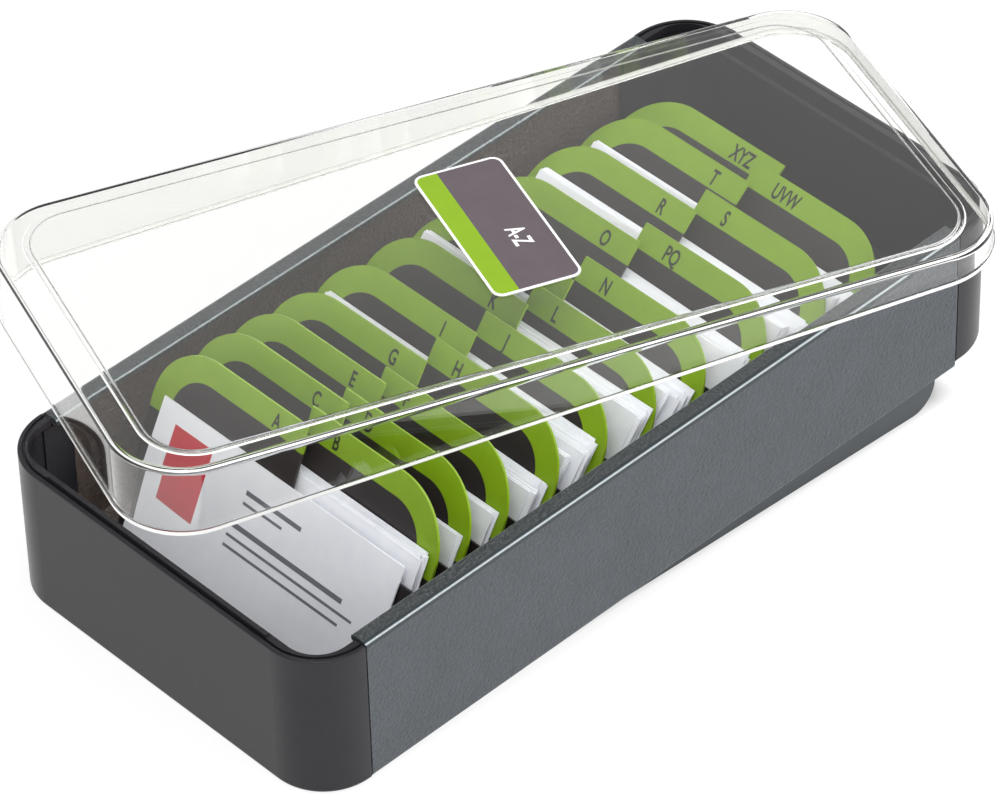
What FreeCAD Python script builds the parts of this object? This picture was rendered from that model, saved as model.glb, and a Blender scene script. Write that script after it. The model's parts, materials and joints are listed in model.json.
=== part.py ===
import FreeCAD, Part
import math
import os
import Sketcher

# Business card box: a folded steel tray with two moulded ends, a riser foot, index dividers,
# packs of cards and a clear lid that lies askew on the tabs.
#
# Every piece is drawn in the tray's frame: X across the box, Y from the front seam to the rear,
# Z square to the tray's bottom, 0 at the underside of the metal. The tray stands tilted on the
# table, so one placement turns the whole box into the part's frame, where Z is up, Z = 0 is the
# table and the origin lies under the middle of the box.

SIZES = [
    # folded steel tray
    ("tray_width", 122.0, "outside width of the tray"),
    ("metal_length", 215.0, "length of the folded metal between the two ends"),
    ("side_height", 47.0, "underside of the metal to the top of the flange"),
    ("sheet", 1.2, "thickness of the steel"),
    ("flange_reach", 5.7, "side face to the inner edge of the top flange"),
    ("hem_reach", 4.3, "how far the flange is folded back under itself"),
    ("bend", 1.8, "outside radius of the long bends"),
    ("hem_bend", 0.95, "outside radius of the folded hem"),
    ("tilt", 4.2, "angle between the tray's bottom and the table, degrees"),
    # moulded ends
    ("seam_gap", 0.4, "gap left between an end and the edge of the metal"),
    ("cap_wall", 2.4, "wall of a moulded end"),
    ("cap_floor", 2.0, "floor of a moulded end"),
    ("rim_drop", 0.6, "rim of an end below the top of the flange"),
    ("rim_width", 3.8, "outer face of an end to the inner edge of its lip"),
    ("lip_thickness", 2.2, "thickness of the lip under the rim"),
    ("opening_corner", 10.0, "corner radius of the opening inside the lip"),
    ("cavity_corner", 13.0, "corner radius of the walls inside"),
    ("groove_inset", 1.1, "outer face to the groove in the rim"),
    ("groove_width", 0.8, "width of the groove in the rim"),
    ("groove_depth", 1.0, "depth of the groove in the rim"),
    ("ridge_length", 82.0, "length of the locating ridge on the rim"),
    ("ridge_width", 1.2, "width of the locating ridge"),
    ("ridge_height", 0.9, "height of the locating ridge"),
    ("rim_edge", 0.5, "rounding of the rim's outer edge"),
    ("foot_edge", 1.2, "rounding of the bottom edge of an end"),
    ("tongue_reach", 7.0, "how far the tongues of an end reach into the metal"),
    ("tongue_thickness", 1.6, "thickness of a tongue"),
    ("tongue_gap", 0.15, "clearance between a tongue and the steel"),
    ("front_reach", 17.5, "front seam to the front face"),
    ("front_corner", 16.4, "corner radius of the front end"),
    ("rear_reach", 20.5, "rear seam to the rear face"),
    ("rear_corner", 18.0, "corner radius of the rear end"),
    ("rear_lift", 2.0, "bottom of the rear end above the underside of the metal"),
    ("shelf_drop", 7.0, "rim to the step that runs along the rear wall inside"),
    ("shelf_depth", 0.8, "how far that step stands out"),
    # riser foot
    ("riser_start", 60.0, "front seam to the front of the riser foot"),
    ("riser_inset", 7.0, "side of the tray to the side of the riser foot"),
    ("riser_wall", 2.5, "wall of the riser foot"),
    ("riser_corner", 8.0, "rounding of the riser's lower rear corner"),
    ("riser_ribs", 3.0, "number of cross ribs in the riser"),
    # index dividers
    ("divider_width", 99.0, "width of a divider"),
    ("divider_body", 40.0, "height of a divider beside its tab"),
    ("tab_height", 62.0, "height of a divider at its tab"),
    ("tab_corner", 18.5, "radius of the tab's outer corner"),
    ("tab_overlap", 2.6, "how far a tab reaches past the middle of the box"),
    ("divider_sheet", 0.8, "thickness of a divider"),
    ("foot_corner", 3.0, "radius of a divider's bottom corners"),
    ("lean_start", 23.3, "lean of the first divider from square, degrees"),
    ("lean_step", 1.45, "what each divider leans more than the one before, degrees"),
    # cards
    ("card_width", 90.0, "width of a card"),
    ("card_height", 47.5, "height of a card"),
    ("card_right", 46.8, "middle of the box to the right end of the packs"),
    ("bundle", 1.4, "about how thick a bundle of even cards is in a pack"),
    ("bundle_spread", 2.2, "how far the bundles of a pack differ to the side"),
    ("bundle_rise", 0.9, "how far the bundles of a pack differ in height"),
    ("single_card", 0.5, "thickness of the single card at the front"),
    ("single_card_lean", 27.0, "lean of the single card, degrees"),
    ("single_card_place", 6.0, "front seam to the foot of the single card"),
    ("single_card_right", 45.2, "middle of the box to the right end of the single card"),
    # clear lid
    ("lid_width", 113.0, "outside width of the lid"),
    ("lid_length", 247.0, "outside length of the lid"),
    ("lid_corner", 20.0, "corner radius of the lid"),
    ("lid_front", 22.3, "height of the lid at its front"),
    ("lid_rear", 8.5, "height of the lid at its rear"),
    ("lid_wall", 1.5, "wall of the lid"),
    ("lid_edge", 1.8, "rounding of the lid's top edge"),
    ("bead_height", 1.6, "height of the bead along the lid's open edge"),
    ("bead_proud", 0.5, "how far the bead stands out"),
    ("panel_side", 5.0, "side of the lid to its raised panel"),
    ("panel_end", 8.0, "end of the lid to its raised panel"),
    ("panel_corner", 15.0, "corner radius of the raised panel"),
    ("panel_rise", 0.8, "height of the raised panel"),
    ("lid_across", -6.0, "middle of the box to the middle of the lid"),
    ("lid_along", 110.5, "front seam to the middle of the lid"),
    ("lid_turn", -19.1, "turn of the lid against the tray, degrees"),
    ("label_width", 52.5, "label on the lid, across"),
    ("label_depth", 25.2, "label on the lid, along"),
    ("label_corner", 3.0, "corner radius of the label"),
    ("label_sheet", 0.3, "thickness of the label"),
    # fits
    ("clearance", 0.3, "gap left between pieces that stand against each other"),
]

# Each divider's letters, the side that its tab is on, and its foot's distance behind the foot
# before it, or for the first behind the front seam.
DIVIDERS = [
    ("a", "left", 11.1), ("b", "right", 5.1), ("c", "left", 5.9), ("d", "right", 2.8),
    ("e", "left", 7.3), ("f", "right", 3.7), ("g", "left", 7.9), ("h", "right", 7.5),
    ("i", "left", 7.7), ("j", "right", 7.4), ("k", "left", 8.5), ("l", "right", 7.0),
    ("m", "left", 7.2), ("n", "right", 9.0), ("o", "left", 13.4), ("pq", "right", 6.8),
    ("r", "left", 12.3), ("s", "right", 8.2), ("t", "left", 9.9), ("uvw", "right", 7.8),
    ("xyz", "left", 3.9),
]
SIZES += [("step_" + letters, step, "foot of divider %s behind the one before" % letters)
          for letters, side, step in DIVIDERS]

# A pack of cards fills the gap behind each of these dividers.
PACKS_BEHIND = ["a", "c", "e", "g", "i", "k", "m", "o", "r", "t"]

# The cards of a pack don't stand quite even: each bundle's place to the right and up, as shares
# of the spread and the rise.
BUNDLE_SHARES = [(0.0, 0.0), (-1.0, 0.7), (0.35, 0.0), (-0.55, 1.0), (0.1, 0.35)]

document = FreeCAD.newDocument("business_card_box")
sheet = document.addObject("Spreadsheet::Sheet", "sizes")


class Size:
    """A number together with the sheet formula that gives it."""

    def __init__(self, number, formula=None):
        self.number = float(number)
        self.formula = formula if formula else "%.6g" % number

    def joined(self, sign, other, number):
        return Size(number, "(%s %s %s)" % (self.formula, sign, other.formula))

    def __add__(self, other):
        other = as_size(other)
        return self.joined("+", other, self.number + other.number)

    def __sub__(self, other):
        other = as_size(other)
        return self.joined("-", other, self.number - other.number)

    def __mul__(self, other):
        other = as_size(other)
        return self.joined("*", other, self.number * other.number)

    def __truediv__(self, other):
        other = as_size(other)
        return self.joined("/", other, self.number / other.number)

    def __neg__(self):
        return as_size(0) - self

    def __radd__(self, other):
        return as_size(other) + self

    def __rsub__(self, other):
        return as_size(other) - self

    def __rmul__(self, other):
        return as_size(other) * self


def as_size(value):
    return value if isinstance(value, Size) else Size(value)


def sine(angle):
    return Size(math.sin(math.radians(angle.number)), "sin(%s)" % angle.formula)


def cosine(angle):
    return Size(math.cos(math.radians(angle.number)), "cos(%s)" % angle.formula)


def tangent(angle):
    return Size(math.tan(math.radians(angle.number)), "tan(%s)" % angle.formula)


def arctangent(slope):
    return Size(math.degrees(math.atan(slope.number)), "atan(%s)" % slope.formula)


def fill_sheet():
    """Writes the driving dimensions into the sheet and returns them by name."""
    found = {}
    for row, (name, number, meaning) in enumerate(SIZES, start=1):
        sheet.set("A%d" % row, name)
        sheet.set("B%d" % row, "%.6g" % number)
        sheet.set("C%d" % row, meaning)
        sheet.setAlias("B%d" % row, name)
        found[name] = Size(number, "sizes." + name)
    document.recompute()
    return found


S = fill_sheet()

tray_half = S["tray_width"] / 2
rim_height = S["side_height"] - S["rim_drop"]
tilt = S["tilt"]
box_middle = (S["metal_length"] + S["rear_reach"] - S["front_reach"]) / 2
foot_level = S["sheet"] + S["clearance"]


def vector(x, y, z):
    return FreeCAD.Vector(as_size(x).number, as_size(y).number, as_size(z).number)


def placed(x=0, y=0, z=0, axis=(0, 0, 1), angle=0):
    """A placement in the tray's frame, from sizes."""
    turn = FreeCAD.Rotation(FreeCAD.Vector(*axis), as_size(angle).number)
    return FreeCAD.Placement(vector(x, y, z), turn)


# The front end's bottom edge stays on the table and the rest of the box is turned up about it.
to_foot = placed(0, S["front_reach"], 0)
to_part = placed(0, -(S["front_reach"] + box_middle), 0, (1, 0, 0), tilt)
tray_frame = to_part.multiply(to_foot)


def new_body(name, place=None):
    body = document.addObject("PartDesign::Body", name)
    body.Label = name
    body.Placement = tray_frame.multiply(place) if place else tray_frame
    return body


def origin_plane(body, role):
    return next(item for item in body.Origin.OriginFeatures if item.Role == role)


def bind(item, path, size):
    item.setExpression(path, as_size(size).formula)


def new_sketch(body, name, plane, level=0, slope=None):
    """A sketch on an origin plane of the body, moved along its normal by a size.
    On XY_Plane it sees (x, y), on XZ_Plane (x, z), and on YZ_Plane (y, z)."""
    drawing = body.newObject("Sketcher::SketchObject", name)
    drawing.AttachmentSupport = [(origin_plane(body, plane), "")]
    drawing.MapMode = "FlatFace"
    bind(drawing, "AttachmentOffset.Base.z", level)
    if slope:
        turn = FreeCAD.Rotation(FreeCAD.Vector(1, 0, 0), slope.number)
        drawing.AttachmentOffset = FreeCAD.Placement(vector(0, 0, level), turn)
        bind(drawing, "AttachmentOffset.Rotation.Angle", slope)
    return drawing


def arc_between(start, end, radius):
    """The arc under half a turn from start to end: to the left for a radius over 0."""
    chord = end.sub(start)
    half = chord.Length / 2
    across = FreeCAD.Vector(-chord.y, chord.x, 0).normalize()
    rise = math.sqrt(max(radius * radius - half * half, 0.0))
    centre = start.add(chord.multiply(0.5)).add(across.multiply(rise if radius > 0 else -rise))
    first, last = (start, end) if radius > 0 else (end, start)
    first_angle = math.atan2(first.y - centre.y, first.x - centre.x)
    last_angle = math.atan2(last.y - centre.y, last.x - centre.x)
    circle = Part.Circle(centre, FreeCAD.Vector(0, 0, 1), abs(radius))
    return Part.ArcOfCircle(circle, first_angle, last_angle)


def draw(drawing, steps):
    """Adds a closed outline. Each step is (x, y), reached by a line, or (x, y, radius), reached
    by an arc that turns left, or right where the radius is under 0. Every point and radius is
    held by the sheet."""
    points = [vector(step[0], step[1], 0) for step in steps]
    ends = []
    for index, step in enumerate(steps):
        start = points[index - 1]
        end = points[index]
        if len(step) == 2:
            number = drawing.addGeometry(Part.LineSegment(start, end))
            ends.append((number, 1, 2))
            continue
        radius = as_size(step[2])
        number = drawing.addGeometry(arc_between(start, end, radius.number))
        ends.append((number, 1, 2) if radius.number > 0 else (number, 2, 1))
        size = radius if radius.number > 0 else -radius
        held = drawing.addConstraint(Sketcher.Constraint("Radius", number, size.number))
        bind(drawing, "Constraints[%d]" % held, size)
    for index, step in enumerate(steps):
        number, first, last = ends[index]
        after, after_first, after_last = ends[(index + 1) % len(ends)]
        drawing.addConstraint(Sketcher.Constraint("Coincident", number, last, after, after_first))
        for kind, size in (("DistanceX", as_size(step[0])), ("DistanceY", as_size(step[1]))):
            held = drawing.addConstraint(Sketcher.Constraint(kind, -1, 1, number, last, size.number))
            bind(drawing, "Constraints[%d]" % held, size)
    document.recompute()


def extrude(body, kind, drawing, length, both=False, back=False, straight_down=False):
    """A Pad or a Pocket of a sketch. Straight down, it runs along -Z from a sloping sketch too."""
    feature = body.newObject("PartDesign::" + kind, kind.lower() + "_" + drawing.Name)
    feature.Profile = drawing
    bind(feature, "Length", length)
    if both:
        feature.Midplane = True
    feature.Reversed = back
    if straight_down:
        feature.UseCustomVector = True
        feature.Direction = FreeCAD.Vector(0, 0, -1)
    document.recompute()
    return feature


def edges_where(shape, test):
    """The names of the edges whose middle point passes a test."""
    names = []
    for number, edge in enumerate(shape.Edges, start=1):
        middle = edge.valueAt((edge.FirstParameter + edge.LastParameter) / 2)
        if test(edge, middle):
            names.append("Edge%d" % number)
    return names


def round_edges(body, test, radius, name):
    """Rounds the edges of the body's last feature that pass a test, in the body's own frame."""
    base = body.Tip
    names = edges_where(base.Shape, test)
    if not names:
        raise ValueError("no edge to round for " + name)
    rounding = body.newObject("PartDesign::Fillet", name)
    rounding.Base = (base, names)
    bind(rounding, "Radius", radius)
    document.recompute()
    return rounding


def near(value, size, room=0.01):
    return abs(value - as_size(size).number) < room


def runs_along(edge, axis):
    """Whether a straight edge runs along an axis, 0 for X, 1 for Y and 2 for Z."""
    direction = edge.tangentAt(edge.FirstParameter)
    return abs(direction[axis]) > 0.98 and edge.Curve.TypeId == "Part::GeomLine"


def mirrored(steps):
    """The steps followed by their mirror image, for an outline that is even about x = 0."""
    return steps + [(-as_size(step[0]), step[1]) for step in reversed(steps)]


def tray_channel():
    """The folded steel: a floor, two sides, and flanges hemmed back under themselves."""
    body = new_body("tray_channel", placed())
    sheet_in = tray_half - S["sheet"]
    flange_in = tray_half - S["flange_reach"]
    hem_end = flange_in + S["hem_reach"]
    hem_under = S["side_height"] - 2 * S["sheet"]
    section = [
        (tray_half, 0),
        (tray_half, S["side_height"]),
        (flange_in, S["side_height"]),
        (flange_in, hem_under),
        (hem_end, hem_under),
        (hem_end, S["side_height"] - S["sheet"]),
        (sheet_in, S["side_height"] - S["sheet"]),
        (sheet_in, S["sheet"]),
    ]
    drawing = new_sketch(body, "tray_section", "XZ_Plane")
    draw(drawing, mirrored(section))
    extrude(body, "Pad", drawing, S["metal_length"], back=True)

    def is_bend(edge, middle):
        outside = near(abs(middle.x), tray_half)
        at_end = near(middle.z, 0) or near(middle.z, S["side_height"])
        return runs_along(edge, 1) and outside and at_end

    def is_hem(edge, middle):
        return runs_along(edge, 1) and near(abs(middle.x), flange_in)

    def is_inner_bend(edge, middle):
        low = near(middle.z, S["sheet"])
        return runs_along(edge, 1) and near(abs(middle.x), sheet_in) and low

    round_edges(body, is_bend, S["bend"], "long_bends")
    round_edges(body, is_hem, S["hem_bend"], "hem_bends")
    round_edges(body, is_inner_bend, S["bend"] - S["sheet"], "inner_bends")
    return body


def end_outline(reach, corner, inset=0):
    """Half of an end's plan at an inset from its outer face, from the seam to the middle."""
    side = tray_half - inset
    front = reach - inset
    radius = corner - inset
    return side, front, radius


def plan_bin(side, front, radius):
    """A plan with two rounded corners, from the seam towards the front face."""
    return [
        (side, 0),
        (-side, 0),
        (-side, -(front - radius)),
        (-(side - radius), -front, radius),
        (side - radius, -front),
        (side, -(front - radius), radius),
    ]


def plan_ring(reach, corner, outer, inner):
    """Two plan outlines, one inside the other, open towards the seam: a track round the rim."""
    out_side, out_front, out_radius = end_outline(reach, corner, outer)
    in_side, in_front, in_radius = end_outline(reach, corner, inner)
    return [
        (out_side, 0),
        (in_side, 0),
        (in_side, -(in_front - in_radius)),
        (in_side - in_radius, -in_front, -in_radius),
        (-(in_side - in_radius), -in_front),
        (-in_side, -(in_front - in_radius), -in_radius),
        (-in_side, 0),
        (-out_side, 0),
        (-out_side, -(out_front - out_radius)),
        (-(out_side - out_radius), -out_front, out_radius),
        (out_side - out_radius, -out_front),
        (out_side, -(out_front - out_radius), out_radius),
    ]


def moulded_end(name, place, reach, corner, lift, ridged, shelved):
    """A moulded end: a rounded bin, open towards the metal, with a grooved rim and a lip inside,
    and two tongues that reach into the metal. It is drawn for the front, reaching towards -Y."""
    body = new_body(name, place)
    side_view = [
        (-S["seam_gap"], lift),
        (-S["seam_gap"], rim_height),
        (-reach, rim_height),
        (-reach, lift),
    ]
    drawing = new_sketch(body, name + "_side", "YZ_Plane")
    draw(drawing, side_view)
    extrude(body, "Pad", drawing, S["tray_width"], both=True)

    def is_corner(edge, middle):
        return runs_along(edge, 2) and near(abs(middle.x), tray_half) and middle.y < -reach.number / 2

    round_edges(body, is_corner, corner, name + "_corners")

    def is_foot(edge, middle):
        return near(middle.z, lift) and not near(middle.y, -S["seam_gap"])

    def is_rim(edge, middle):
        return near(middle.z, rim_height) and not near(middle.y, -S["seam_gap"])

    round_edges(body, is_foot, S["foot_edge"], name + "_foot_edge")
    round_edges(body, is_rim, S["rim_edge"], name + "_rim_edge")

    cavity_side = tray_half - S["cap_wall"]
    cavity_front = reach - S["cap_wall"]
    floor_level = lift + S["cap_floor"]
    lip_level = rim_height - S["lip_thickness"]
    cavity = new_sketch(body, name + "_cavity", "XY_Plane", lip_level)
    draw(cavity, plan_bin(cavity_side, cavity_front, S["cavity_corner"]))
    extrude(body, "Pocket", cavity, lip_level - floor_level)

    opening = new_sketch(body, name + "_opening", "XY_Plane", rim_height)
    draw(opening, plan_bin(tray_half - S["rim_width"], reach - S["rim_width"], S["opening_corner"]))
    extrude(body, "Pocket", opening, S["lip_thickness"])

    groove = new_sketch(body, name + "_groove", "XY_Plane", rim_height)
    groove_end = S["groove_inset"] + S["groove_width"]
    draw(groove, plan_ring(reach, corner, S["groove_inset"], groove_end))
    extrude(body, "Pocket", groove, S["groove_depth"])

    if ridged:
        ridge_out = reach - groove_end
        ridge = new_sketch(body, name + "_ridge", "XY_Plane", rim_height)
        half = S["ridge_length"] / 2
        draw(ridge, [
            (half, -ridge_out),
            (half, -(ridge_out - S["ridge_width"])),
            (-half, -(ridge_out - S["ridge_width"])),
            (-half, -ridge_out),
        ])
        extrude(body, "Pad", ridge, S["ridge_height"])
    if shelved:
        shelf = new_sketch(body, name + "_shelf", "YZ_Plane")
        shelf_top = rim_height - S["shelf_drop"]
        draw(shelf, [
            (-cavity_front, floor_level),
            (-cavity_front, shelf_top),
            (-(cavity_front - S["shelf_depth"]), shelf_top - S["shelf_depth"]),
            (-(cavity_front - S["shelf_depth"]), floor_level),
        ])
        extrude(body, "Pad", shelf, (cavity_side - S["cavity_corner"]) * 2, both=True)

    tongue_out = tray_half - S["sheet"] - S["tongue_gap"]
    tongue_in = tongue_out - S["tongue_thickness"]
    tongue_top = lip_level - S["sheet"]
    tongue_root = new_sketch(body, name + "_tongues", "XZ_Plane", -S["tongue_reach"])
    for sign in (1, -1):
        draw(tongue_root, [
            (tongue_out * sign, floor_level),
            (tongue_out * sign, tongue_top),
            (tongue_in * sign, tongue_top),
            (tongue_in * sign, floor_level),
        ])
    extrude(body, "Pad", tongue_root, S["tongue_reach"] + S["cap_wall"])
    return body


def riser_foot():
    """The wedge under the rear of the tray: its underside lies on the table."""
    body = new_body("riser_foot", placed())
    slope = tangent(tilt)
    rear = S["metal_length"]
    wall = S["riser_wall"]

    def depth(along):
        return (along + S["front_reach"]) * slope

    wedge = new_sketch(body, "riser_side", "YZ_Plane")
    draw(wedge, [
        (S["riser_start"], 0),
        (rear, 0),
        (rear, -depth(rear)),
        (S["riser_start"], -depth(S["riser_start"])),
    ])
    width = S["tray_width"] - 2 * S["riser_inset"]
    extrude(body, "Pad", wedge, width, both=True)

    def is_rear_corner(edge, middle):
        low = middle.z < -depth(rear).number / 2
        return runs_along(edge, 0) and near(middle.y, rear) and low

    round_edges(body, is_rear_corner, S["riser_corner"], "riser_rear_corner")
    rooms = int(S["riser_ribs"].number) + 1
    inner = rear - S["riser_start"] - wall * (rooms + 1)
    for number in range(rooms):
        first = S["riser_start"] + wall * (number + 1) + inner * (number / rooms)
        last = first + inner / rooms
        if number == rooms - 1:
            last = last - S["riser_corner"] / 2
        room = new_sketch(body, "riser_room_%d" % (number + 1), "YZ_Plane")
        draw(room, [
            (first, 0),
            (last, 0),
            (last, -(depth(last) - wall)),
            (first, -(depth(first) - wall)),
        ])
        extrude(body, "Pocket", room, width - 2 * wall, both=True)
    return body


def lean_of(index):
    return S["lean_start"] + S["lean_step"] * index


def foot_of(index):
    """The distance from the front seam to a divider's foot."""
    return sum((S["step_" + letters] for letters, side, step in DIVIDERS[:index + 1]), as_size(0))


def divider(index, letters, side):
    """A thin index divider: a low body and, on one half, a tall tab with a large outer corner."""
    place = placed(0, foot_of(index), foot_level, (1, 0, 0), -lean_of(index))
    body = new_body("divider_" + letters, place)
    half = S["divider_width"] / 2
    low = S["foot_corner"]
    corner = S["tab_corner"]
    sign = 1 if side == "right" else -1
    steps = [
        (half - low, 0),
        (half, low, low),
        (half, S["tab_height"] - corner),
        (half - corner, S["tab_height"], corner),
        (-S["tab_overlap"], S["tab_height"]),
        (-S["tab_overlap"], S["divider_body"]),
        (-half, S["divider_body"]),
        (-half, low),
        (-(half - low), 0, low),
    ]
    flipped = []
    for step in steps:
        flipped.append((step[0] * sign, step[1]) + tuple(radius * sign for radius in step[2:]))
    drawing = new_sketch(body, "outline_" + letters, "XZ_Plane")
    draw(drawing, flipped)
    extrude(body, "Pad", drawing, S["divider_sheet"])
    return body


def card_block(name, lean, along, thickness, right, bundles):
    """Cards standing on the tray's floor and leaning back: each bundle is a slab whose foot lies
    flat on the floor, as the cards slide down one behind the other."""
    body = new_body(name, placed(0, along, foot_level))
    foot = thickness / cosine(lean)
    rise = S["card_height"] * cosine(lean)
    run = S["card_height"] * sine(lean)
    for number in range(bundles):
        aside, above = BUNDLE_SHARES[number]
        push = S["bundle_spread"] * aside
        lift = S["bundle_rise"] * above
        front = foot * (number / bundles)
        back = foot * ((number + 1) / bundles)
        up = cosine(lean) * lift
        over = sine(lean) * lift
        drawing = new_sketch(body, "%s_bundle_%d" % (name, number + 1), "YZ_Plane",
                             right - S["card_width"] + push)
        draw(drawing, [
            (front + over, up),
            (back + over, up),
            (back + over + run, up + rise),
            (front + over + run, up + rise),
        ])
        extrude(body, "Pad", drawing, S["card_width"])
    return body


def lid_taper():
    return arctangent((S["lid_rear"] - S["lid_front"]) / S["lid_length"])


def rounded_plan(width, length, radius):
    """A rectangle with rounded corners about the middle, anticlockwise."""
    x = width / 2
    y = length / 2
    return [
        (x, -(y - radius)),
        (x, y - radius),
        (x - radius, y, radius),
        (-(x - radius), y),
        (-x, y - radius, radius),
        (-x, -(y - radius)),
        (-(x - radius), -y, radius),
        (x - radius, -y),
        (x, -(y - radius), radius),
    ][1:]


def lid_place():
    """The lid lies on the tallest tab that its side crosses, turned against the tray."""
    lean = lean_of(1)
    tab_top = foot_level + S["tab_height"] * cosine(lean) + S["divider_sheet"] * sine(lean)
    return placed(S["lid_across"], S["lid_along"], tab_top + S["clearance"], (0, 0, 1), S["lid_turn"])


def lid():
    """The clear lid: a thin open shell, higher at the front, with a raised panel on top and a
    bead along its open edge."""
    body = new_body("lid", lid_place())
    half_length = S["lid_length"] / 2
    plan = new_sketch(body, "lid_plan", "XY_Plane")
    draw(plan, rounded_plan(S["lid_width"], S["lid_length"], S["lid_corner"]))
    extrude(body, "Pad", plan, S["lid_front"])

    wedge = new_sketch(body, "lid_taper", "YZ_Plane")
    draw(wedge, [
        (-half_length, S["lid_front"]),
        (half_length, S["lid_rear"]),
        (half_length, S["lid_front"] * 2),
        (-half_length, S["lid_front"] * 2),
    ])
    extrude(body, "Pocket", wedge, S["lid_width"] * 2, both=True)

    def is_top(edge, middle):
        return middle.z > S["lid_rear"].number - 0.01 and not runs_along(edge, 2)

    round_edges(body, is_top, S["lid_edge"], "lid_top_edge")

    wall = S["lid_wall"]
    slant = S["lid_length"] / cosine(lid_taper())
    middle_height = (S["lid_front"] + S["lid_rear"]) / 2
    under_top = middle_height - wall / cosine(lid_taper())
    hollow = new_sketch(body, "lid_hollow", "XY_Plane", under_top, lid_taper())
    draw(hollow, rounded_plan(S["lid_width"] - 2 * wall, slant - 2 * wall, S["lid_corner"] - wall))
    extrude(body, "Pocket", hollow, S["lid_front"] * 2, straight_down=True)

    panel = new_sketch(body, "lid_panel", "XY_Plane", middle_height, lid_taper())
    draw(panel, rounded_plan(S["lid_width"] - 2 * S["panel_side"], slant - 2 * S["panel_end"],
                             S["panel_corner"]))
    extrude(body, "Pad", panel, S["panel_rise"])

    bead = new_sketch(body, "lid_bead", "XY_Plane")
    proud = S["bead_proud"]
    draw(bead, rounded_plan(S["lid_width"] + 2 * proud, S["lid_length"] + 2 * proud,
                            S["lid_corner"] + proud))
    draw(bead, rounded_plan(S["lid_width"] - wall, S["lid_length"] - wall,
                            S["lid_corner"] - wall / 2))
    extrude(body, "Pad", bead, S["bead_height"])
    return body


def lid_label():
    """A thin label that lies on the middle of the lid's raised panel."""
    middle_height = (S["lid_front"] + S["lid_rear"]) / 2
    on_panel = placed(0, 0, middle_height, (1, 0, 0), lid_taper()).multiply(placed(0, 0, S["panel_rise"]))
    body = new_body("lid_label", lid_place().multiply(on_panel))
    drawing = new_sketch(body, "label_plan", "XY_Plane")
    draw(drawing, rounded_plan(S["label_width"], S["label_depth"], S["label_corner"]))
    extrude(body, "Pad", drawing, S["label_sheet"])
    return body


def packs():
    """A pack between each of the named dividers and the next one, which it leans on."""
    made = []
    for index, (letters, side, step) in enumerate(DIVIDERS):
        if letters not in PACKS_BEHIND:
            continue
        behind = DIVIDERS[index + 1][0]
        lean = lean_of(index + 1)
        front = foot_of(index) + S["clearance"] / cosine(lean_of(index))
        back = foot_of(index + 1) - (S["divider_sheet"] + S["clearance"]) / cosine(lean)
        thickness = (back - front) * cosine(lean)
        bundles = max(1, min(len(BUNDLE_SHARES), round(thickness.number / S["bundle"].number)))
        made.append(card_block("cards_%s_%s" % (letters, behind), lean, front, thickness,
                               S["card_right"], bundles))
    return made


def build():
    """Makes every sub-part."""
    made = [
        tray_channel(),
        moulded_end("front_end_cap", placed(), S["front_reach"], S["front_corner"], as_size(0),
                    True, False),
        moulded_end("rear_end_cap", placed(0, S["metal_length"], 0, (0, 0, 1), 180),
                    S["rear_reach"], S["rear_corner"], S["rear_lift"], False, True),
        riser_foot(),
    ]
    for index, (letters, side, step) in enumerate(DIVIDERS):
        made.append(divider(index, letters, side))
    made.extend(packs())
    made.append(card_block("card_front", S["single_card_lean"], S["single_card_place"],
                           S["single_card"], S["single_card_right"], 1))
    made.append(lid())
    made.append(lid_label())
    document.recompute()
    return made


def check(made):
    """Stops before anything is written if an object failed or a shape isn't one sound solid."""
    for item in document.Objects:
        if "Invalid" in item.State or "Error" in item.State:
            raise ValueError("failed: " + item.Label)
    for item in made:
        shape = item.Shape
        if shape.isNull() or not shape.isValid() or len(shape.Solids) != 1:
            raise ValueError("not one sound solid: " + item.Label)


parts = build()
check(parts)
os.makedirs("parts", exist_ok=True)
for item in parts:
    item.Shape.exportStep(os.path.join("parts", item.Label + ".step"))
    print("%-16s %9.1f mm3" % (item.Label, item.Shape.Volume))
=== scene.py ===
# %% [markdown]
# # A business card box, dressed for its picture
# The box is a folded steel tray with two moulded ends. Printed dividers and packs of cards lean
# back in it, and its clear lid lies askew on top. The construction comes in as a fixed frame at
# its real size. This script gives every surface its finish, and models what the frame keeps
# plain: the lid's fine roundings, the printed dividers, the single cards of each pack, the label
# and the printed card.

# %% Load the frame
import json
import math
import random

import bmesh
import bpy
import numpy as np
from mathutils import Matrix, Vector


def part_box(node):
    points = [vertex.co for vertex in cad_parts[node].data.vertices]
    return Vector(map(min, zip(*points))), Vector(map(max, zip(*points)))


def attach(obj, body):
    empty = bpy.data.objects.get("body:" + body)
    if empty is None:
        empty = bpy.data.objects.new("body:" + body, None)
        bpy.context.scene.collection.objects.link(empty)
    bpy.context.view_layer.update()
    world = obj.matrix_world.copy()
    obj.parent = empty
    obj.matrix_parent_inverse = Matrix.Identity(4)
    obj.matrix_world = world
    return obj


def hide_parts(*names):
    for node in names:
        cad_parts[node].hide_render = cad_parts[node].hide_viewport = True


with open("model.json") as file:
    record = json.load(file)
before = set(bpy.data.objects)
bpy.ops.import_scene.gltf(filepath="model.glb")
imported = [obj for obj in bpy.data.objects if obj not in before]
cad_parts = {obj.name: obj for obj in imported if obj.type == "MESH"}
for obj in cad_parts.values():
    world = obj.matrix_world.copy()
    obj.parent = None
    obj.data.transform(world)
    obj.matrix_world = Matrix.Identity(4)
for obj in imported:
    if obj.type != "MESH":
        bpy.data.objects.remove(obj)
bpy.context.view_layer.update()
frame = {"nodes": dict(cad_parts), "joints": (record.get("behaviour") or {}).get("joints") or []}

nodes = frame["nodes"]
joints = {joint["child"]: joint for joint in frame["joints"]}

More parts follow.
